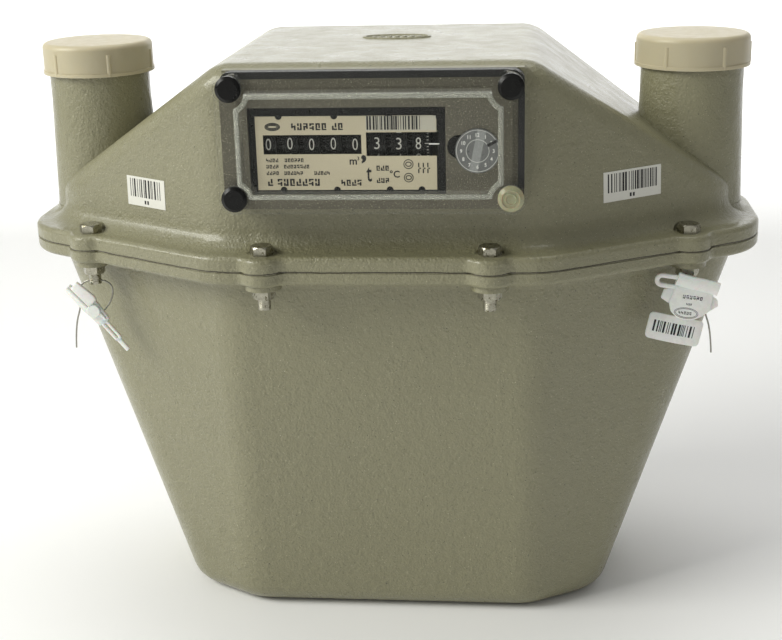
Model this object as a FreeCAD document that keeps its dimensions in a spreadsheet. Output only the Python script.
import FreeCAD, Part
import math
import os
import re
import Sketcher
from FreeCAD import Rotation, Vector

# Two-pipe diaphragm gas meter.
# Origin: centre of the flat underside of the lower casing.  X runs from the
# inlet to the outlet, Y from the dial to the back, Z up.  Millimetres.

doc = FreeCAD.newDocument("gas_meter")
sheet = doc.addObject("Spreadsheet::Sheet", "Sizes")

SIZES = {
    # casing
    "wall": 4.0, "slant": 0.577, "pipe_x": 125.0,
    "base_half_x": 91.5, "base_half_y": 53.0, "base_front": 60.0, "base_round": 10.0,
    "waist_half_x": 147.0, "eave_half_x": 142.0, "waist_half_y": 69.0, "waist_front": 61.0,
    "lower_flange_z": 154.5, "gasket_z": 159.5, "upper_flange_z": 160.5, "flange_top_z": 166.0,
    "flange_half_x": 153.0, "flange_half_y": 82.0, "flange_front": 64.0, "flange_round": 30.0,
    "roof_z": 237.0, "roof_half_x": 60.0, "eave_z": 177.0, "roof_round": 9.0, "ridge_round": 16.0,
    "front_corner_round": 28.0, "end_corner_round": 28.0,
    "thread_r": 20.955, "thread_z": 216.0, "pipe_foot_r": 22.6, "pipe_bore_r": 16.5,
    "flare": 4.0, "upper_blend": 8.0, "lower_blend": 6.0, "boss_blend": 5.0, "rim_round": 2.0,
    "post_x": 80.0, "post_y": 28.0, "post_r": 5.0, "plate_top_z": 154.0,
    # flange fastenings (M5)
    "bolt_front_x": 43.75, "bolt_front_y": 77.2, "bolt_outer_x": 121.5, "bolt_outer_y": 43.1,
    "boss_r": 9.0, "boss_foot_r": 7.2, "boss_bottom_z": 152.5, "spot_r": 6.0, "bolt_r": 2.5, "bolt_hole_r": 2.9,
    "head_r": 4.62, "head_h": 3.5, "nut_h": 4.0, "bolt_end_z": 144.0,
    # transport caps
    "cap_r": 23.0, "cap_inner_r": 21.9, "cap_rim_z": 226.2, "cap_top_z": 239.1, "cap_roof_t": 2.0,
    "cap_rib_h": 9.0, "cap_rib_w": 2.4, "cap_rib_d": 0.5, "cap_round": 2.2,
    # index housing and cover
    "index_z": 209.7, "seat_half_x": 56.5, "seat_half_z": 25.8, "seat_y": -71.0, "seat_back_y": -52.0,
    "recess_half_x": 47.5, "recess_half_z": 20.3, "recess_y": -55.6, "pad_y": -76.6,
    "housing_half_x": 56.2, "housing_half_z": 25.4, "housing_y": -79.5, "front_t": 1.5,
    "screw_x": 51.7, "screw_z": 20.6, "screw_r": 2.0, "screw_hole_r": 2.2, "screw_depth": 8.0,
    "screw_head_r": 3.5, "plug_r": 4.9,
    "cover_half_x": 57.75, "cover_half_z": 26.7, "cover_y": -82.0, "cover_boss_r": 6.0, "cover_boss_y": -84.0,
    "window_half_x": 49.2, "window_half_z": 19.75, "window_y": -90.0, "cover_t": 1.3, "notch_r": 6.9,
    # dial
    "mask_left": -46.0, "mask_right": 27.6, "mask_low": 189.4, "mask_high": 222.6,
    "dial_left": -43.5, "dial_right": 24.2, "dial_low": 191.3, "dial_high": 219.2,
    "dial_y": -77.8, "dial_t": 0.4, "frame_t": 0.6,
    "slot_left": -40.8, "slot_split_a": -3.8, "slot_split_b": -2.0, "slot_low": 204.9, "slot_high": 212.2,
    "notch_dot_r": 1.3,
    "disc_x": 39.4, "disc_z": 206.3, "disc_r": 8.3, "disc_t": 0.8, "pit_x": 32.6, "pit_r": 4.4,
    # number drums
    "drum_y": -66.3, "drum_z": 208.5, "drum_r": 10.0, "drum_w": 6.1, "drum_pitch": 8.19, "drum_first_x": -39.1,
    "drum_gear_w": 1.8, "drum_bore_r": 1.06, "shaft_r": 1.0, "gear_tip_r": 8.57, "gear_root_r": 6.79,
    "pinion_tip_r": 3.74, "pinion_root_r": 2.07, "pinion_w": 1.4, "pinion_drop": 11.15, "pinion_shaft_r": 0.7,
    "wheel_x": 29.3, "wheel_w": 2.6, "wheel_tip_r": 5.5, "wheel_root_r": 4.5, "cheek_t": 1.2,
    # drive from the measuring unit
    "drive_z": 217.3, "drive_r": 1.5, "worm_r": 3.0, "worm_core_r": 2.2, "bush_r": 4.5,
    "crank_x": 17.0, "crank_r": 2.5, "crank_top_z": 226.0, "crank_wheel_tip_r": 8.5, "crank_wheel_root_r": 7.3,
    "crank_disc_r": 9.0, "crank_throw": 6.0, "crank_disc_z": 166.0,
    "bracket_y": 20.0, "bracket_z": 204.0,
    # seals on the two outer front bolts
    "seal_wire_r": 0.35, "seal_hole_z": 145.4, "seal_hole_r": 0.7,
    "left_seal_y": -47.0, "right_seal_y": -51.0,
    # measuring unit
    "unit_half_x": 58.0, "unit_half_y": 26.0, "unit_low_z": 34.0, "unit_top_z": 150.0, "chamber_z": 92.0,
    "chamber_r": 46.0, "partition": 2.0, "dome_y": 48.0, "dome_tip_r": 38.0, "dome_t": 1.5,
    "pan_y": 30.0, "pan_r": 35.0, "skin_t": 0.8, "skin_clear": 0.4,
    "rod_x": 40.0, "rod_y": 15.0, "rod_r": 2.5, "rod_low_z": 78.0, "rod_top_z": 176.0,
    "arm": 48.0, "pin_r": 1.5, "duct_x": 66.0, "duct_r": 12.0, "duct_z": 172.0, "duct_t": 1.6,
}
for row, (alias, number) in enumerate(SIZES.items(), start=1):
    sheet.set("A%d" % row, alias)
    sheet.set("B%d" % row, str(number))
    sheet.setAlias("B%d" % row, alias)
doc.recompute()


def bound(text):
    """Expression text with every size name pointing at the sheet."""
    return re.sub(r"[A-Za-z_]\w*", lambda word: "Sizes." + word[0] if word[0] in SIZES else word[0], text)


TURN = {"z": Rotation(), "y": Rotation(Vector(1, 0, 0), -90), "front": Rotation(Vector(1, 0, 0), 90),
        "x": Rotation(Vector(0, 1, 0), 90), "down": Rotation(Vector(1, 0, 0), 180)}


def put(obj, at, axis="z"):
    """Turns the object so that its own Z runs along the axis, and binds its place."""
    obj.Placement = FreeCAD.Placement(Vector(), TURN[axis])
    for letter, text in zip("xyz", at):
        obj.setExpression("Placement.Base." + letter, bound(str(text)))
    return obj


def primitive(kind, name, at, axis="z", **sizes):
    obj = doc.addObject("Part::" + kind, name)
    for prop, text in sizes.items():
        obj.setExpression(prop, bound(str(text)))
    return put(obj, at, axis)


def box(name, low, high):
    """Block between two corners, each three expressions."""
    length, width, height = ["(%s) - (%s)" % (b, a) for a, b in zip(low, high)]
    return primitive("Box", name, low, Length=length, Width=width, Height=height)


def cylinder(name, radius, height, at, axis="z"):
    return primitive("Cylinder", name, at, axis, Radius=radius, Height=height)


def cone(name, foot, tip, height, at, axis="z"):
    return primitive("Cone", name, at, axis, Radius1=foot, Radius2=tip, Height=height)


def hexagon(name, radius, height, at, axis="z"):
    obj = primitive("Prism", name, at, axis, Circumradius=radius, Height=height)
    obj.Polygon = 6
    return obj


def fuse(name, *shapes):
    obj = doc.addObject("Part::MultiFuse", name)
    obj.Shapes = list(shapes)
    obj.Refine = True
    return obj


def cut(name, base, *tools):
    obj = doc.addObject("Part::Cut", name)
    obj.Base = base
    obj.Tool = tools[0] if len(tools) == 1 else fuse(name + "_tools", *tools)
    obj.Refine = True
    return obj


def common(name, first, second):
    obj = doc.addObject("Part::MultiCommon", name)
    obj.Shapes = [first, second]
    return obj


def tube(name, radius, bore, height, at, axis="z"):
    return cut(name, cylinder(name + "_outside", radius, height, at, axis),
               cylinder(name + "_bore", bore, height, at, axis))


# ---------------------------------------------------------------- sketched bodies

def plane_of(body, role):
    return [o for o in body.Origin.OriginFeatures if o.Role == role][0]


def outline(body, name, role, points, height="0"):
    """Closed polygon on an origin plane, raised by height, with every corner bound to the sheet."""
    sketch = body.newObject("Sketcher::SketchObject", name)
    sketch.AttachmentSupport = [(plane_of(body, role), "")]
    sketch.MapMode = "FlatFace"
    sketch.setExpression("AttachmentOffset.Base.z", bound(height))
    marks = [Vector(10 + 20 * math.cos(i), 10 + 20 * math.sin(i), 0) for i in range(len(points))]
    for i, mark in enumerate(marks):
        sketch.addGeometry(Part.LineSegment(mark, marks[(i + 1) % len(marks)]), False)
    for i in range(len(marks)):
        sketch.addConstraint(Sketcher.Constraint("Coincident", i, 2, (i + 1) % len(marks), 1))
    for i, (across, up) in enumerate(points):
        for kind, text in (("DistanceX", across), ("DistanceY", up)):
            value = marks[i].x if kind == "DistanceX" else marks[i].y
            index = sketch.addConstraint(Sketcher.Constraint(kind, -1, 1, i, 1, value))
            sketch.setExpression("Constraints[%d]" % index, bound(str(text)))
    return sketch


def pad(body, sketch, length, both=False, back=False):
    feature = body.newObject("PartDesign::Pad", sketch.Name + "_pad")
    feature.Profile = sketch
    feature.setExpression("Length", bound(length))
    feature.Midplane = both
    feature.Reversed = back
    doc.recompute()
    return feature


def pocket(body, sketch, length, both=False, back=False):
    feature = body.newObject("PartDesign::Pocket", sketch.Name + "_pocket")
    feature.Profile = sketch
    feature.setExpression("Length", bound(length))
    feature.Midplane = both
    feature.Reversed = back
    doc.recompute()
    return feature


def rounded(body, name, radius, wanted):
    """Fillet on the edges of the body's tip for which wanted(edge) is true."""
    base = body.Tip
    names = ["Edge%d" % (i + 1) for i, edge in enumerate(base.Shape.Edges) if wanted(edge)]
    feature = body.newObject("PartDesign::Fillet", name)
    feature.Base = (base, names)
    feature.setExpression("Radius", bound(radius))
    doc.recompute()
    return feature


def upright(edge):
    ends = [v.Point for v in edge.Vertexes]
    return len(ends) == 2 and math.hypot(ends[0].x - ends[1].x, ends[0].y - ends[1].y) < 1e-6


def ring_edges(shape, z, outer):
    """Outer or inner boundary of the largest flat face at height z."""
    flat = [f for f in shape.Faces if f.BoundBox.ZLength < 1e-3 and abs(f.BoundBox.ZMin - z) < 1e-3]
    face = max(flat, key=lambda f: f.Area)
    rim = face.OuterWire.Edges
    return rim if outer else [e for e in face.Edges if not any(e.isSame(x) for x in rim)]


def blended(name, base):
    """Body that starts from a finished shape, ready for fillets."""
    body = doc.addObject("PartDesign::Body", name)
    body.BaseFeature = base
    doc.recompute()
    return body


def round_ring(body, name, radius, z, outer):
    ring = ring_edges(body.Tip.Shape, z, outer)
    return rounded(body, name, radius, lambda e: any(e.isSame(x) for x in ring))


def beside_boss(edge):
    """True for an upright edge where a boss meets the side of the flange."""
    x, y = abs(edge.BoundBox.XMin), abs(edge.BoundBox.YMin)
    centres = ((sheet.bolt_front_x, sheet.bolt_front_y), (sheet.bolt_outer_x, sheet.bolt_outer_y))
    return (upright(edge) and edge.BoundBox.ZLength > 4
            and any(abs(math.hypot(x - u, y - v) - sheet.boss_r) < 0.05 for u, v in centres))


def blended_flange(name, wall_body, low, high, face_z, blend):
    """Wall and flange with a soft seam, bosses run into the flange edge, and a rounded rim."""
    joined = fuse(name + "_joined", wall_body, plate_body(
        name + "_plate", stretched_hexagon("flange_half_x", "flange_half_y", "flange_front"), low, high, "flange_round"))
    doc.recompute()
    seam = blended(name + "_seam", joined)
    round_ring(seam, name + "_seam_blend", blend, face_z, False)
    bossed = fuse(name + "_bossed", seam, *at_each(
        name + "_boss", BOLT_PLACES, lambda n, x, y: cylinder(n, "boss_r", "(%s) - (%s)" % (high, low), (x, y, low))))
    doc.recompute()
    body = blended(name + "_rounded", bossed)
    rounded(body, name + "_boss_blend", "boss_blend", beside_boss)
    round_ring(body, name + "_rim", "rim_round", face_z, True)
    return body


def stretched_hexagon(half_x, half_y, front, inset="0"):
    """Plan of the casing: a front and a back edge, four slants and two short ends, moved in by inset."""
    out_x = "(%s) - (%s)" % (half_x, inset)
    out_y = "(%s) - (%s)" % (half_y, inset)
    front_x = "(%s) - 0.268 * (%s)" % (front, inset)
    end_y = "(%s) - ((%s) - (%s)) * slant" % (out_y, out_x, front_x)
    quarter = [(front_x, out_y), (out_x, end_y)]
    points = quarter[:]
    points += [(x, "-(%s)" % y) for x, y in reversed(quarter)]
    points += [("-(%s)" % x, "-(%s)" % y) for x, y in quarter]
    points += [("-(%s)" % x, y) for x, y in reversed(quarter)]
    return points


def plate_body(name, points, low, high, round_radius):
    """Flat plate with rounded upright edges."""
    body = doc.addObject("PartDesign::Body", name)
    pad(body, outline(body, name + "_plan", "XY_Plane", points, low), "(%s) - (%s)" % (high, low))
    rounded(body, name + "_corners", round_radius, upright)
    return body


BOLT_PLACES = [("%s * bolt_front_x" % a, "%s * bolt_front_y" % b) for a in (-1, 1) for b in (-1, 1)]
BOLT_PLACES += [("%s * bolt_outer_x" % a, "%s * bolt_outer_y" % b) for a in (-1, 1) for b in (-1, 1)]
SCREW_PLACES = [("%s * screw_x" % a, "index_z + %s * screw_z" % b) for a in (-1, 1) for b in (-1, 1)]
POST_PLACES = [("%s * post_x" % a, "%s * post_y" % b) for a in (-1, 1) for b in (-1, 1)]


def at_each(name, places, make):
    """One object per place; make(name, u, v) builds it."""
    return [make("%s_%d" % (name, i + 1), u, v) for i, (u, v) in enumerate(places)]


def bolt_holes(name, low, high):
    return at_each(name, BOLT_PLACES,
                   lambda n, x, y: cylinder(n, "bolt_hole_r", "(%s) - (%s)" % (high, low), (x, y, low)))


def hopper(name, inset, low):
    """Tapered solid between the base plan and the waist plan, eight flat sides with rounded corners."""
    def corners(half_x, half_y, front, z):
        out_x, out_y, front_x = half_x - inset, half_y - inset, front - 0.268 * inset
        end_y = out_y - (out_x - front_x) * sheet.slant
        quarter = [(front_x, out_y), (out_x, end_y)]
        ring = quarter + [(x, -y) for x, y in quarter[::-1]]
        ring += [(-x, -y) for x, y in quarter] + [(-x, y) for x, y in quarter[::-1]]
        return [Vector(x, y, z) for x, y in ring]

    foot = corners(sheet.base_half_x, sheet.base_half_y, sheet.base_front, low)
    rim = corners(sheet.waist_half_x, sheet.waist_half_y, sheet.waist_front, sheet.gasket_z)
    rings = [foot, rim]
    for i in range(8):
        j = (i + 1) % 8
        rings.append([foot[i], foot[j], rim[j], rim[i]])
    faces = [Part.Face(Part.makePolygon(ring + ring[:1])) for ring in rings]
    block = doc.addObject("Part::Feature", name + "_block")
    block.Shape = Part.makeSolid(Part.makeShell(faces))
    body = doc.addObject("PartDesign::Body", name)
    body.BaseFeature = block
    doc.recompute()
    rounded(body, name + "_corners", "end_corner_round - 2 - %.1f" % inset, lambda e: e.BoundBox.ZLength > 50)
    rounded(body, name + "_foot", "base_round - %.1f / 2" % inset,
            lambda e: e.BoundBox.ZLength < 1e-3 and e.BoundBox.ZMax < 20)
    return body


def lower_casing():
    flanged = blended_flange("lower", hopper("hopper", 0.0, 0.0), "lower_flange_z", "gasket_z",
                             sheet.lower_flange_z, "lower_blend")
    feet = at_each("boss_foot", BOLT_PLACES, lambda n, x, y: cylinder(
        n, "boss_foot_r", "gasket_z - boss_bottom_z", (x, y, "boss_bottom_z")))
    return cut("lower_casing", fuse("lower_outside", flanged, *feet), hopper("hopper_hollow", sheet.wall, sheet.wall),
               *bolt_holes("lower_hole", "boss_bottom_z", "gasket_z"))


def roof_block(name, inset, low):
    """Upper casing without its pipes: the waist plan raised, with two sloping shoulders."""
    body = doc.addObject("PartDesign::Body", name)
    top = "roof_z - (%s)" % inset
    pad(body, outline(body, name + "_plan", "XY_Plane",
                      stretched_hexagon("eave_half_x", "waist_half_y", "waist_front", inset), low),
        "(%s) - (%s)" % (top, low))
    fall = "(roof_z - eave_z) / (waist_half_x - 1 - roof_half_x)"
    eave = "eave_z - 1.2 * (%s) - 20 * %s" % (inset, fall)
    ridge = "roof_half_x - 0.3 * (%s)" % inset
    for side in (-1, 1):
        corner = [("%d * (%s)" % (side, x), z) for x, z in
                  ((ridge, top), ("waist_half_x + 19", eave), ("waist_half_x + 19", "roof_z + 5"),
                   (ridge, "roof_z + 5"))]
        pocket(body, outline(body, "%s_slope_%s" % (name, "ab"[side > 0]), "XZ_Plane", corner),
               "4 * waist_half_y", both=True)
    rounded(body, name + "_front_corners", "front_corner_round - (%s)" % inset, upright)
    rounded(body, name + "_ridges", "ridge_round", lambda e: e.BoundBox.YLength > 60 and e.BoundBox.ZMin > 200)
    rounded(body, name + "_roof_edges", "roof_round - (%s) / 2" % inset,
            lambda e: e.BoundBox.ZMin > 168 and e.BoundBox.XLength > 3)
    return body


def pipe(name, side):
    """Tapered pipe stub with a plain cylinder where the G 1 1/4 thread runs."""
    x = "%d * pipe_x" % side
    foot = cone(name + "_taper", "pipe_foot_r", "thread_r", "thread_z - upper_flange_z", (x, "0", "upper_flange_z"))
    neck = cylinder(name + "_neck", "thread_r", "roof_z - thread_z", (x, "0", "thread_z"))
    step = cylinder(name + "_step", "pipe_foot_r + flare", "flare", (x, "0", "flange_top_z"))
    scoop = primitive("Torus", name + "_scoop", (x, "0", "flange_top_z + flare"), Radius1="pipe_foot_r + flare",
                      Radius2="flare")
    return fuse(name, foot, neck, cut(name + "_flare", step, scoop))


def upper_casing():
    seat = box("index_seat", ("-seat_half_x", "seat_y", "index_z - seat_half_z"),
               ("seat_half_x", "seat_back_y", "index_z + seat_half_z"))
    flanged = blended_flange("upper", roof_block("roof", "0", "upper_flange_z"), "upper_flange_z", "flange_top_z",
                             sheet.flange_top_z, "upper_blend")
    outside = fuse("upper_outside", flanged, pipe("inlet_pipe", -1), pipe("outlet_pipe", 1))
    spots = at_each("spot_face", BOLT_PLACES, lambda n, x, y: cylinder(n, "spot_r", "9", (x, y, "flange_top_z")))
    posts = at_each("post", POST_PLACES,
                    lambda n, x, y: cylinder(n, "post_r", "roof_z - upper_flange_z", (x, y, "upper_flange_z")))
    hollow = cut("upper_hollow", roof_block("roof_hollow", "wall", "upper_flange_z"), *posts)
    bores = [cylinder("%s_bore" % n, "pipe_bore_r", "roof_z - upper_flange_z", ("%d * pipe_x" % s, "0",
                      "upper_flange_z")) for n, s in (("inlet", -1), ("outlet", 1))]
    shell = cut("upper_shell", outside, hollow, *bores)
    stubs = at_each("post_foot", POST_PLACES,
                    lambda n, x, y: cylinder(n, "post_r", "20", (x, y, "plate_top_z")))
    whole = fuse("upper_whole", shell, seat, *stubs)
    recess = box("recess", ("-recess_half_x", "seat_y", "index_z - recess_half_z"),
                 ("recess_half_x", "recess_y", "index_z + recess_half_z"))
    threads = at_each("index_thread", SCREW_PLACES,
                      lambda n, x, z: cylinder(n, "screw_r", "screw_depth + 2", (x, "seat_y", z), "y"))
    post_threads = at_each("post_thread", POST_PLACES,
                           lambda n, x, y: cylinder(n, "screw_r", "10", (x, y, "plate_top_z")))
    bush = cylinder("bush_seat", "bush_r", "20", ("wheel_x", "recess_y - 1", "drive_z"), "y")
    return cut("upper_casing", whole, recess, bush, *(threads + post_threads + spots +
               bolt_holes("upper_hole", "upper_flange_z", "flange_top_z")))


def casing_gasket():
    sheet_body = plate_body("gasket_sheet", stretched_hexagon("flange_half_x", "flange_half_y", "flange_front", "0.4"),
                            "gasket_z", "upper_flange_z", "flange_round")
    opening = plate_body("gasket_opening", stretched_hexagon("waist_half_x", "waist_half_y", "waist_front", "wall"),
                         "gasket_z", "upper_flange_z", "end_corner_round")
    ears = at_each("gasket_ear", BOLT_PLACES,
                   lambda n, x, y: cylinder(n, "boss_r - 0.4", "upper_flange_z - gasket_z", (x, y, "gasket_z")))
    return cut("casing_gasket", fuse("gasket_blank", sheet_body, *ears), opening,
               *bolt_holes("gasket_hole", "gasket_z", "upper_flange_z"))


def flange_fastenings():
    def bolt(name, x, y):
        head = common(name + "_head", hexagon(name + "_hexagon", "head_r", "head_h", (x, y, "flange_top_z")),
                      cone(name + "_bevel", "head_r + 1.8", "head_r - 0.6", "head_h", (x, y, "flange_top_z")))
        return fuse(name, head,
                    cylinder(name + "_shank", "bolt_r", "flange_top_z - bolt_end_z", (x, y, "bolt_end_z")))

    def nut(name, x, y):
        low = "boss_bottom_z - nut_h"
        block = common(name + "_block", hexagon(name + "_hexagon", "head_r", "nut_h", (x, y, low)),
                       cone(name + "_bevel", "head_r - 0.6", "head_r + 2.4", "nut_h", (x, y, low)))
        return cut(name, block,
                   cylinder(name + "_bore", "bolt_r + 0.05", "nut_h", (x, y, low)))

    eyes = [cylinder("seal_eye_%d" % (i + 1), "seal_hole_r", "4 * bolt_r",
                     ("%d * bolt_outer_x - 2 * bolt_r" % a, "-bolt_outer_y", "seal_hole_z"), "x")
            for i, a in enumerate((-1, 1))]
    cut("flange_bolts", fuse("bolt_set", *at_each("bolt", BOLT_PLACES, bolt)), *eyes)
    fuse("flange_nuts", *at_each("nut", BOLT_PLACES, nut))


def cap(name, side):
    """Push-on transport cap with upright grip ribs."""
    x = "%d * pipe_x" % side
    body = doc.addObject("PartDesign::Body", name + "_cup")
    section = [("0", "0"), ("cap_r", "0"), ("cap_r", "cap_top_z - cap_rim_z"), ("0", "cap_top_z - cap_rim_z")]
    sketch = outline(body, name + "_section", "XZ_Plane", section)
    turned = body.newObject("PartDesign::Revolution", name + "_turned")
    turned.Profile = sketch
    turned.ReferenceAxis = (sketch, ["V_Axis"])
    turned.Angle = 360
    doc.recompute()
    rounded(body, name + "_rounded", "cap_round",
            lambda e: e.BoundBox.ZLength < 1e-6 and e.BoundBox.ZMin > 5 and e.BoundBox.XLength > 10)
    put(body, (x, "0", "cap_rim_z"))
    ribs = []
    for i in range(6):
        angle = math.radians(60 * i - 63)
        ribs.append(cylinder("%s_rib_%d" % (name, i + 1), "cap_rib_w / 2", "cap_rib_h",
                             ("%s + (cap_r - cap_rib_w / 2 + cap_rib_d) * %.5f" % (x, math.cos(angle)),
                              "(cap_r - cap_rib_w / 2 + cap_rib_d) * %.5f" % math.sin(angle), "cap_rim_z")))
    lip = cylinder(name + "_lip", "cap_r + 0.35", "1.4", (x, "0", "cap_rim_z"))
    return cut(name, fuse(name + "_solid", body, lip, *ribs),
               cylinder(name + "_inside", "cap_inner_r", "cap_top_z - cap_roof_t - cap_rim_z", (x, "0", "cap_rim_z")))


# ---------------------------------------------------------------- index

def slab(name, half_x, half_z, back, front, corner):
    """Upright rounded plate around the index centre, from its back face to its front face."""
    body = doc.addObject("PartDesign::Body", name)
    points = [("%d * (%s)" % (a, half_x), "index_z + %d * (%s)" % (b, half_z))
              for a, b in ((-1, -1), (1, -1), (1, 1), (-1, 1))]
    pad(body, outline(body, name + "_face", "XZ_Plane", points, "-(%s)" % back), "(%s) - (%s)" % (back, front))
    rounded(body, name + "_corners", corner, lambda e: e.BoundBox.YLength > 0.5)
    return body


def forward(name, radius, back, front, x, z):
    """Cylinder along Y from the back to the front."""
    return cylinder(name, radius, "(%s) - (%s)" % (back, front), (x, back, z), "front")


def index_case():
    gasket = slab("index_gasket_blank", "seat_half_x", "seat_half_z", "seat_y", "pad_y", "4")
    opening = box("index_gasket_opening", ("-recess_half_x", "pad_y", "index_z - recess_half_z"),
                  ("recess_half_x", "seat_y", "index_z + recess_half_z"))
    cut("index_gasket", gasket, opening, *at_each(
        "index_gasket_hole", SCREW_PLACES, lambda n, x, z: forward(n, "screw_hole_r", "seat_y", "pad_y", x, z)))

    housing = slab("housing_block", "housing_half_x", "housing_half_z", "pad_y", "housing_y", "5.5")
    hollow = box("housing_hollow", ("-recess_half_x", "housing_y + front_t", "index_z - recess_half_z"),
                 ("recess_half_x", "pad_y", "index_z + recess_half_z"))
    mask = box("mask_opening", ("mask_left", "housing_y", "mask_low"), ("mask_right", "pad_y", "mask_high"))
    pit = forward("date_pit", "pit_r", "pad_y", "housing_y", "pit_x", "disc_z + 1.5")
    cut("index_housing", housing, hollow, mask, pit, *at_each(
        "housing_hole", SCREW_PLACES, lambda n, x, z: forward(n, "screw_hole_r", "pad_y", "housing_y", x, z)))
    forward("date_disc", "disc_r", "housing_y", "housing_y - disc_t", "disc_x", "disc_z")


def index_cover():
    plate = slab("cover_plate", "cover_half_x", "cover_half_z", "housing_y", "cover_y", "6")
    window = slab("cover_window", "window_half_x", "window_half_z", "housing_y", "window_y", "2.5")
    rounded(window, "window_bevel", "2.2", lambda e: e.BoundBox.YLength < 1e-3 and e.BoundBox.YMax < -85)
    bites = at_each("window_bite", SCREW_PLACES,
                    lambda n, x, z: forward(n, "notch_r", "cover_y", "window_y - 2", x, z))
    eyes = at_each("cover_boss", SCREW_PLACES,
                   lambda n, x, z: forward(n, "cover_boss_r", "housing_y", "cover_boss_y", x, z))
    room = slab("cover_room", "window_half_x - cover_t", "window_half_z - cover_t", "housing_y",
                "window_y + cover_t", "1.5")
    walls = at_each("cover_bite_wall", SCREW_PLACES,
                    lambda n, x, z: forward(n, "notch_r + cover_t", "housing_y", "window_y", x, z))
    through = at_each("cover_hole", SCREW_PLACES,
                      lambda n, x, z: forward(n, "screw_hole_r", "housing_y", "cover_boss_y", x, z))
    sinks = at_each("cover_sink", SCREW_PLACES,
                    lambda n, x, z: forward(n, "plug_r", "housing_y - 1.1", "cover_boss_y", x, z))
    raised = cut("cover_raised", window, *bites)
    cut("index_cover", fuse("cover_solid", plate, raised, *eyes), cut("cover_space", room, *walls),
        *(through + sinks))


def index_fastenings():
    def screw(name, x, z):
        head = forward(name + "_head", "screw_head_r", "housing_y - 1.1", "housing_y - 3.0", x, z)
        shank = forward(name + "_shank", "screw_r - 0.03", "seat_y + screw_depth", "housing_y - 1.1", x, z)
        slot = box(name + "_slot", ("%s - screw_head_r" % x, "housing_y - 3.0", "%s - 0.4" % z),
                   ("%s + screw_head_r" % x, "housing_y - 2.2", "%s + 0.4" % z))
        return cut(name, fuse(name + "_blank", head, shank), slot)

    def plug(name, x, z):
        rim = forward(name + "_rim", "plug_r - 0.03", "housing_y - 3.2", "cover_boss_y - 0.3", x, z)
        crown = cone(name + "_crown", "plug_r - 0.03", "plug_r - 1.2", "0.9", (x, "cover_boss_y - 0.3", z), "front")
        return fuse(name, rim, crown)

    fuse("index_screws", *at_each("index_screw", SCREW_PLACES, screw))
    black = [place for place in SCREW_PLACES if place != SCREW_PLACES[2]]
    fuse("screw_plugs", *at_each("black_plug", black, plug))
    plug("seal_plug", *SCREW_PLACES[2])


def dial():
    plate = box("dial_blank", ("dial_left", "dial_y", "dial_low"), ("dial_right", "dial_y + dial_t", "dial_high"))
    slots = [box("dial_slot_a", ("slot_left", "dial_y", "slot_low"), ("slot_split_a", "dial_y + dial_t", "slot_high")),
             box("dial_slot_b", ("slot_split_b", "dial_y", "slot_low - 0.8"),
                 ("dial_right", "dial_y + dial_t", "slot_high + 0.8"))]
    dots = [("-34.6", "dial_high"), ("-13.8", "dial_high"), ("6.5", "dial_high"), ("dial_right", "dial_high"),
            ("-33.7", "dial_low"), ("-13.4", "dial_low"), ("6.5", "dial_low"), ("18.5", "dial_low")]
    bites = at_each("dial_dot", dots, lambda n, x, z: forward(n, "notch_dot_r", "dial_y + dial_t", "dial_y", x, z))
    cut("dial_plate", plate, *(slots + bites))


def index_frame():
    front = box("frame_front", ("-47", "dial_y + dial_t", "index_z - recess_half_z + 0.5"),
                ("33.6", "dial_y + dial_t + frame_t", "index_z + recess_half_z - 0.5"))
    cheeks = [box("frame_cheek_%d" % (i + 1), (x, "dial_y + dial_t", "drum_z - pinion_drop - 3"),
                  ("%s + cheek_t" % x, "-62", "drum_z + 9")) for i, x in enumerate(("-46.2", "32.4"))]
    openings = [box("frame_slot_a", ("slot_left - 0.6", "dial_y", "slot_low - 0.6"),
                    ("slot_split_a + 0.6", "dial_y + 2", "slot_high + 0.6")),
                box("frame_slot_b", ("slot_split_b - 0.6", "dial_y", "slot_low - 1.4"),
                    ("dial_right + 0.6", "dial_y + 2", "slot_high + 1.4"))]
    shafts = [cylinder("frame_shaft_hole", "shaft_r", "90", ("-50", "drum_y", "drum_z"), "x"),
              cylinder("frame_pinion_hole", "pinion_shaft_r", "90", ("-50", "drum_y", "drum_z - pinion_drop"), "x")]
    cut("index_frame", fuse("frame_blank", front, *cheeks), *(openings + shafts))
    cylinder("drum_shaft", "shaft_r", "33.6 + 47", ("-47", "drum_y", "drum_z"), "x")
    cylinder("pinion_shaft", "pinion_shaft_r", "33.6 + 47", ("-47", "drum_y", "drum_z - pinion_drop"), "x")


def gear(name, teeth, tip, root, width, flare=1.45):
    """Spur gear blank along X with straight-sided teeth; one tooth gap points to +Z."""
    body = doc.addObject("PartDesign::Body", name)
    disc = body.newObject("Sketcher::SketchObject", name + "_disc")
    disc.AttachmentSupport = [(plane_of(body, "YZ_Plane"), "")]
    disc.MapMode = "FlatFace"
    disc.addGeometry(Part.Circle(Vector(), Vector(0, 0, 1), 5), False)
    disc.addConstraint(Sketcher.Constraint("Coincident", 0, 3, -1, 1))
    index = disc.addConstraint(Sketcher.Constraint("Radius", 0, 5.0))
    disc.setExpression("Constraints[%d]" % index, bound(tip))
    pad(body, disc, width)
    half = "(0.9 * (%s + %s) / %d)" % (tip, root, teeth)
    gap = [("-0.55 * " + half, root), ("0.55 * " + half, root), ("%s * %s" % (flare, half), "%s + 0.5" % tip),
           ("-%s * %s" % (flare, half), "%s + 0.5" % tip)]
    tooth_gap = outline(body, name + "_gap", "YZ_Plane", gap)
    pocketed = pocket(body, tooth_gap, "4 * (%s)" % width, both=True)
    ring = body.newObject("PartDesign::PolarPattern", name + "_ring")
    ring.Originals = [pocketed]
    ring.Axis = (disc, ["N_Axis"])
    ring.Angle = 360
    ring.Occurrences = teeth
    body.Tip = ring
    doc.recompute()
    return body


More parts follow.
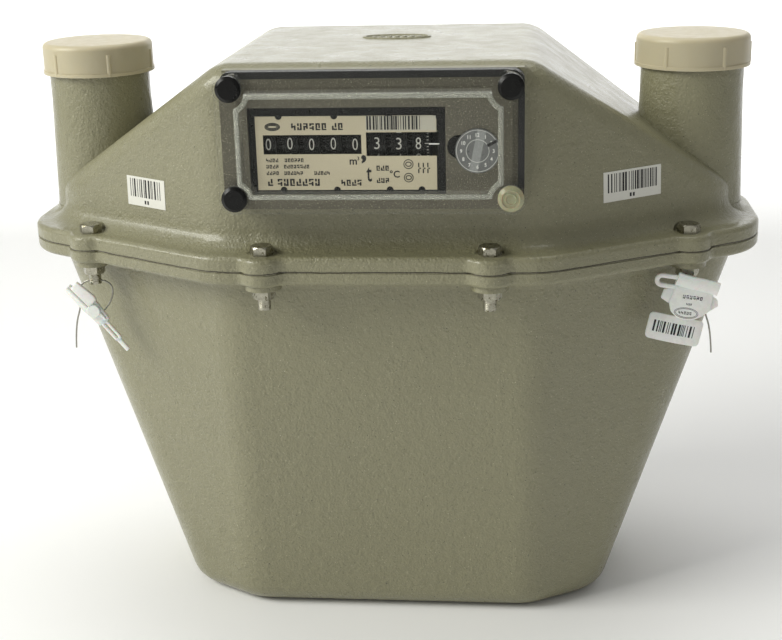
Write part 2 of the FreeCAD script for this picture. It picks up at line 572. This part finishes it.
def number_drums():
    """Eight drums on one shaft; all but the last have a gear on the right that a carry pinion turns."""
    for i in range(8):
        name = "number_drum_%d" % (i + 1)
        centre = "drum_first_x + %d * drum_pitch" % i
        left, right = "%s - drum_w / 2" % centre, "%s + drum_w / 2" % centre
        rim = cylinder(name + "_rim", "drum_r", "drum_w", (left, "drum_y", "drum_z"), "x")
        if i < 7:
            wheel = gear(name + "_gear", 20, "gear_tip_r", "gear_root_r", "drum_gear_w")
            parts = [put(wheel, (right, "drum_y", "drum_z"))]
            carry_pinion("transfer_pinion_%d" % (i + 1), "%s + (drum_gear_w - pinion_w) / 2" % right)
        else:
            wheel = gear("worm_wheel", 20, "wheel_tip_r", "wheel_root_r", "wheel_w")
            parts = [put(wheel, ("wheel_x - wheel_w / 2", "drum_y", "drum_z")),
                     cylinder("worm_wheel_hub", "2.2", "wheel_x - (%s)" % centre, (centre, "drum_y", "drum_z"), "x")]
        bore = cylinder(name + "_bore", "drum_bore_r", "40", ("%s - 5" % left, "drum_y", "drum_z"), "x")
        cut(name, fuse(name + "_solid", rim, *parts), bore)


def carry_pinion(name, start):
    """Eight-tooth pinion below the drums, one tooth pointing up into the drum gear."""
    pinion = gear(name + "_teeth", 8, "pinion_tip_r", "pinion_root_r", "pinion_w", 2.2)
    place = (start, "drum_y", "drum_z - pinion_drop")
    put(pinion, place)
    pinion.Placement.Rotation = Rotation(Vector(1, 0, 0), 22.5)
    cut(name, pinion, cylinder(name + "_bore", "pinion_shaft_r + 0.05", "pinion_w", place, "x"))


def ribbed(name, core, tip, length, at, axis, count):
    """Worm drawn as a core with evenly spaced rings."""
    parts = [cylinder(name + "_core", core, length, at, axis)]
    index = {"z": 2, "x": 0, "front": 1}[axis]
    for i in range(count):
        place = list(at)
        sign = "-" if axis == "front" else "+"
        place[index] = "(%s) %s %s * %.4f" % (at[index], sign, length, (i + 0.25) / count)
        parts.append(cylinder("%s_turn_%d" % (name, i + 1), tip, "(%s) / %d" % (length, 2 * count), place, axis))
    return parts


# ---------------------------------------------------------------- drive

def drive():
    shaft = forward("drive_rod", "drive_r", "9", "drum_y - 4.5", "wheel_x", "drive_z")
    worm = ribbed("drive_worm", "worm_core_r", "worm_r", "9", ("wheel_x", "drum_y + 4.5", "drive_z"), "front", 5)
    wheel = gear("crank_wheel", 20, "crank_wheel_tip_r", "crank_wheel_root_r", "4")
    wheel.Placement = FreeCAD.Placement(Vector(), Rotation(Vector(0, 0, 1), 90))
    for letter, text in zip("xyz", ("wheel_x", "-2", "drive_z")):
        wheel.setExpression("Placement.Base." + letter, bound(text))
    fuse("drive_shaft", shaft, wheel, *worm)
    cut("drive_bush", fuse("bush_blank", forward("bush_body", "bush_r", "seat_back_y + 2", "recess_y", "wheel_x", "drive_z"),
                           forward("bush_collar", "bush_r + 1.2", "seat_back_y + 2", "seat_back_y", "wheel_x", "drive_z")),
        forward("bush_bore", "drive_r + 0.05", "seat_back_y + 3", "recess_y - 1", "wheel_x", "drive_z"))

    spindle = cylinder("crank_spindle", "crank_r", "crank_top_z - plate_top_z - 3", ("crank_x", "0", "plate_top_z + 3"))
    disc = cylinder("crank_disc", "crank_disc_r", "3", ("crank_x", "0", "crank_disc_z"))
    pin = cylinder("crank_pin", "pin_r", "4", ("crank_x", "-crank_throw", "crank_disc_z + 3"))
    worm = ribbed("crank_worm", "crank_r", "crank_r + 1", "13", ("crank_x", "0", "drive_z - 6.5"), "z", 6)
    fuse("crankshaft", spindle, disc, pin, *worm)

    column = [box("bracket_column_%d" % (i + 1), ("crank_x - 4", "%d * bracket_y - 2" % a, "plate_top_z"),
                  ("crank_x + 4", "%d * bracket_y + 2" % a, "bracket_z + 4")) for i, a in enumerate((-1, 1))]
    bar = box("bracket_bar", ("crank_x - 4", "-bracket_y", "bracket_z"), ("crank_x + 4", "bracket_y", "bracket_z + 4"))
    ear = box("bracket_ear", ("crank_x + 4", "4.5", "bracket_z"), ("wheel_x + 4", "7.5", "bracket_z + 4"))
    post = box("bracket_post", ("wheel_x - 4", "4.5", "bracket_z"), ("wheel_x + 4", "7.5", "drive_z + 4"))
    foot = box("bracket_foot", ("crank_x - 4", "-bracket_y", "plate_top_z"), ("crank_x + 4", "bracket_y", "plate_top_z + 6"))
    cut("crank_bracket", fuse("bracket_blank", bar, ear, post, foot, *column),
        cylinder("bracket_bore", "crank_r + 0.05", "100", ("crank_x", "0", "plate_top_z + 2.9")),
        forward("bracket_ear_bore", "drive_r + 0.05", "10", "3", "wheel_x", "drive_z"))


# ---------------------------------------------------------------- measuring unit

def measuring_body():
    block = box("unit_block", ("-unit_half_x", "-unit_half_y", "unit_low_z"), ("unit_half_x", "unit_half_y", "unit_top_z"))
    rooms = [forward("chamber_front", "chamber_r", "-partition", "-unit_half_y", "0", "chamber_z"),
             forward("chamber_back", "chamber_r", "unit_half_y", "partition", "0", "chamber_z")]
    rods = [cylinder("rod_bore_%d" % (i + 1), "rod_r + 0.05", "unit_top_z - chamber_z", ("rod_x", "%d * rod_y" % a, "chamber_z"))
            for i, a in enumerate((-1, 1))]
    cut("measuring_body", block, *(rooms + rods))


def chamber_side(word, side):
    """Cover, diaphragm, pan and flag rod of one chamber; side is -1 at the front, 1 at the back."""
    axis = "front" if side < 0 else "y"
    rim = "%d * unit_half_y" % side
    flat = "%d * (unit_half_y + 2)" % side
    low, high = (flat, rim) if side < 0 else (rim, flat)
    rise = "dome_y - unit_half_y"
    plate = box(word + "_cover_rim", ("-unit_half_x", low, "unit_low_z"), ("unit_half_x", high, "unit_top_z"))
    dome = cone(word + "_dome", "chamber_r + 4", "dome_tip_r + 4", rise, ("0", rim, "chamber_z"), axis)
    room = cone(word + "_dome_room", "chamber_r", "dome_tip_r", "(%s) - dome_t" % rise, ("0", rim, "chamber_z"), axis)
    cut(word + "_cover", fuse(word + "_cover_blank", plate, dome), room)

    skin = "%d * (unit_half_y - 3)" % side
    depth = "pan_y - unit_half_y + 3 + skin_t"
    outer = cone(word + "_skin_outer", "chamber_r", "pan_r + skin_clear + skin_t", depth, ("0", skin, "chamber_z"), axis)
    inner = cone(word + "_skin_inner", "chamber_r - skin_t", "pan_r + skin_clear", depth, ("0", skin, "chamber_z"), axis)
    cut(word + "_diaphragm", outer, inner)

    near, far = "%d * rod_y" % side, "%d * pan_y" % side
    low, high = (far, "%s - 2" % near) if side < 0 else ("%s + 2" % near, far)
    disc = cylinder(word + "_pan_disc", "pan_r", "1.2", ("0", far, "chamber_z"), axis)
    lugs = [box("%s_pan_lug_%d" % (word, i + 1), ("rod_x - arm - 4", low if side < 0 else "%s - 3" % near, z),
                ("rod_x - arm + 4", "%s + 3" % near if side < 0 else high, "%s + 2" % z))
            for i, z in enumerate(("chamber_z - 9", "chamber_z + 7"))]
    pin = cylinder(word + "_pan_pin", "pin_r", "16", ("rod_x - arm", near, "chamber_z - 8"))
    fuse(word + "_pan", disc, pin, *lugs)

    rod = cylinder(word + "_rod", "rod_r", "rod_top_z - rod_low_z", ("rod_x", near, "rod_low_z"))
    flag = box(word + "_flag", ("rod_x - arm + 7", "%s - 1" % near, "chamber_z - 5"), ("rod_x", "%s + 1" % near, "chamber_z + 5"))
    tip = box(word + "_flag_tip", ("rod_x - arm - 4", "%s - 3" % near, "chamber_z - 5"),
              ("rod_x - arm + 8", "%s + 3" % near, "chamber_z + 5"))
    slot = box(word + "_flag_slot", ("rod_x - arm - 5", "%s - pin_r - 0.3" % near, "chamber_z - 6"),
               ("rod_x - arm + 4", "%s + pin_r + 0.3" % near, "chamber_z + 6"))
    cut(word + "_flag_rod", fuse(word + "_flag_blank", rod, flag, tip), slot)

    lever = box(word + "_lever_bar", ("rod_x - 14", "%s - 3" % near, "rod_top_z - 3"), ("rod_x + 4", "%s + 3" % near, "rod_top_z"))
    cut(word + "_lever", lever, cylinder(word + "_lever_bore", "rod_r", "3", ("rod_x", near, "rod_top_z - 3")))
    reach = [("rod_x - 12", near), ("crank_x", "%d * (crank_throw + 4)" % side)]
    link_body = doc.addObject("PartDesign::Body", word + "_link")
    edge = [("%s - 2" % reach[0][0], reach[0][1]), ("%s + 2" % reach[0][0], reach[0][1]),
            ("%s + 2" % reach[1][0], reach[1][1]), ("%s - 2" % reach[1][0], reach[1][1])]
    if side < 0:
        edge = edge[::-1]
    pad(link_body, outline(link_body, word + "_link_plan", "XY_Plane", edge, "rod_top_z"), "1.6")


def valve_gear():
    plate = box("valve_plate_blank", ("-post_x - 8", "-44", "unit_top_z"), ("post_x + 8", "44", "plate_top_z"))
    holes = at_each("plate_hole", POST_PLACES,
                    lambda n, x, y: cylinder(n, "screw_hole_r", "plate_top_z - unit_top_z", (x, y, "unit_top_z")))
    ports = []
    for i, y in enumerate((-24, 24)):
        for k in range(3):
            name = "port_%d" % (3 * i + k + 1)
            ports.append(box(name, ("%d" % (-36 + 11 * k), "%d - 8" % y, "unit_top_z"),
                             ("%d" % (-30 + 11 * k), "%d + 8" % y, "plate_top_z")))
    rods = [cylinder("plate_rod_%d" % (i + 1), "rod_r + 0.05", "4", ("rod_x", "%d * rod_y" % a, "unit_top_z"))
            for i, a in enumerate((-1, 1))]
    duct_port = cylinder("duct_port", "duct_r - duct_t", "4", ("duct_x", "0", "unit_top_z"))
    cut("valve_plate", plate, duct_port, *(holes + ports + rods))
    for word, y in (("front", -24), ("back", 24)):
        slide = box(word + "_valve_block", ("-34.5", "%d - 11" % y, "plate_top_z"), ("-9.5", "%d + 11" % y, "plate_top_z + 7"))
        cup = box(word + "_valve_cup", ("-30.5", "%d - 8" % y, "plate_top_z"), ("-13.5", "%d + 8" % y, "plate_top_z + 5"))
        cut(word + "_valve", slide, cup)

    def screw(name, x, y):
        return fuse(name, cylinder(name + "_head", "screw_head_r", "2.4", (x, y, "unit_top_z - 2.4")),
                    cylinder(name + "_shank", "screw_r - 0.03", "plate_top_z - unit_top_z + 9", (x, y, "unit_top_z")))

    fuse("unit_screws", *at_each("unit_screw", POST_PLACES, screw))


def outlet_duct():
    """Tube from the valve plate, across and up into the outlet pipe."""
    def path(name, radius):
        rise = cylinder(name + "_rise", radius, "duct_z - plate_top_z", ("duct_x", "0", "plate_top_z"))
        across = cylinder(name + "_across", radius, "pipe_x - duct_x", ("duct_x", "0", "duct_z"), "x")
        stem = cylinder(name + "_stem", radius, "30", ("pipe_x", "0", "duct_z"))
        elbows = [primitive("Sphere", "%s_elbow_%d" % (name, i + 1), (x, "0", "duct_z"), Radius=radius)
                  for i, x in enumerate(("duct_x", "pipe_x"))]
        return fuse(name, rise, across, stem, *elbows)

    cut("outlet_duct", path("duct_outside", "duct_r"), path("duct_inside", "duct_r - duct_t"),
        cylinder("duct_mouth", "duct_r - duct_t", "5", ("pipe_x", "0", "duct_z + 28")))
    tube("duct_seal", "pipe_bore_r", "duct_r", "4", ("pipe_x", "0", "duct_z + 22"))


# ---------------------------------------------------------------- seals

def bent_wire(points):
    """Wire of straight runs joined by tangent arcs, each as large as its two runs allow."""
    edges = []
    start = points[0]
    for before, corner, after in zip(points, points[1:], points[2:]):
        run = 0.45 * min((before - corner).Length, (after - corner).Length)
        a = (before - corner).normalize()
        b = (after - corner).normalize()
        half = a.getAngle(b) / 2
        bend = run * math.tan(half)
        middle = corner + (a + b).normalize() * (bend / math.sin(half) - bend)
        edges.append(Part.LineSegment(start, corner + a * run).toShape())
        edges.append(Part.Arc(corner + a * run, middle, corner + b * run).toShape())
        start = corner + b * run
        print("bend radius %.1f" % bend)
    edges.append(Part.LineSegment(start, points[-1]).toShape())
    return Part.Wire(edges)


def seal_wire(name, side, seal_face):
    """Wire with one free end, through the drilled bolt end and down to the seal's back face."""
    x, y, z = sheet.bolt_outer_x, -sheet.bolt_outer_y, sheet.seal_hole_z
    route = [(x + 11, y, z - 30), (x + 10.4, y, z - 20), (x + 7, y, z - 11), (x + 7, y, z), (x - 7, y, z),
             (x - 7, y, z - 9), (x - 3, seal_face, z - 13)]
    points = [Vector(side * u, v, w) for u, v, w in route]
    path = bent_wire(points)
    section = Part.Wire(Part.Circle(points[0], points[1] - points[0], sheet.seal_wire_r).toShape())
    solid = doc.addObject("Part::Feature", name)
    solid.Shape = path.makePipeShell([section], True, False)
    print(name, "length %.1f, volume over section %.1f" % (path.Length,
          solid.Shape.Volume / (math.pi * sheet.seal_wire_r ** 2)))


def leaf(name, points, middle, thickness):
    """Flat moulding in an upright plane, centred on middle in Y."""
    body = doc.addObject("PartDesign::Body", name)
    pad(body, outline(body, name + "_face", "XZ_Plane", points, "-(%s)" % middle), thickness, both=True)
    return body


def left_seal():
    y = "left_seal_y"
    flag = leaf("left_seal_flag", [(-133.9, 142.1), (-128, 146), (-120.1, 139.8), (-115.2, 131.2), (-119.8, 126.4),
                                   (-124.6, 131.6)], y, "2.6")
    tail = leaf("left_seal_tail", [(-120.8, 129.0), (-117.6, 131.6), (-106.2, 117.8), (-109.4, 115.2)], y, "1.4")
    slot = leaf("left_seal_slot", [(-115.4, 125.0), (-114.2, 126.0), (-108.6, 119.2), (-109.8, 118.2)], y, "4")
    lock = cylinder("left_seal_lock", "3.2", "4.4", ("-122.6", "left_seal_y + 1.6", "136.4"), "front")
    cut("left_seal", fuse("left_seal_blank", flag, tail, lock), slot)


def right_seal():
    y = "right_seal_y"
    head = leaf("right_seal_head", [(116.5, 150.6), (132.8, 147.4), (134.6, 141.8), (127.6, 137.4), (112.2, 140.0),
                                    (110.4, 143.0), (115.4, 145.4)], y, "3")
    tab = cylinder("right_seal_tab", "4.2", "1.6", ("112.6", "right_seal_y + 0.8", "147.0"), "front")
    eye = cylinder("right_seal_eye", "2.2", "6", ("112.6", "right_seal_y + 3", "147.0"), "front")
    lock = cylinder("right_seal_lock", "7.4", "4", ("119.8", "right_seal_y + 2", "138.6"), "front")
    tag = leaf("right_seal_tag", [(108.1, 134.8), (129.1, 131.6), (123.3, 119.2), (103.7, 124.6)], y, "1.2")
    cut("right_seal", fuse("right_seal_blank", head, tab, lock, tag), eye)


lower_casing()
upper_casing()
casing_gasket()
flange_fastenings()
cap("inlet_cap", -1)
cap("outlet_cap", 1)
index_case()
index_cover()
index_fastenings()
dial()
index_frame()
number_drums()
drive()
measuring_body()
chamber_side("front", -1)
chamber_side("back", 1)
valve_gear()
outlet_duct()
left_seal()
right_seal()
seal_wire("left_seal_wire", -1, sheet.left_seal_y + 1.3)
seal_wire("right_seal_wire", 1, sheet.right_seal_y + 2)
doc.recompute()

NODES = ["lower_casing", "upper_casing", "casing_gasket", "flange_bolts", "flange_nuts", "inlet_cap", "outlet_cap",
         "index_gasket", "index_housing", "date_disc", "index_cover", "index_screws", "screw_plugs", "seal_plug",
         "dial_plate", "index_frame", "drum_shaft", "pinion_shaft", "drive_shaft", "drive_bush", "crankshaft",
         "crank_bracket", "measuring_body", "valve_plate", "front_valve", "back_valve", "unit_screws", "outlet_duct",
         "duct_seal", "left_seal", "left_seal_wire", "right_seal", "right_seal_wire"]
NODES += ["number_drum_%d" % (i + 1) for i in range(8)] + ["transfer_pinion_%d" % (i + 1) for i in range(7)]
NODES += [side + piece for side in ("front", "back")
          for piece in ("_cover", "_diaphragm", "_pan", "_flag_rod", "_lever", "_link")]

os.makedirs("parts", exist_ok=True)
for obj in doc.Objects:
    if "Invalid" in obj.State or "Error" in obj.State:
        raise RuntimeError("%s: %s" % (obj.Name, obj.State))
for node in NODES:
    part = doc.getObject(node)
    part.Label = node
    if part.Shape.isNull() or not part.Shape.isValid():
        raise RuntimeError("%s has no valid shape" % node)
    part.Shape.exportStep("parts/%s.step" % node)
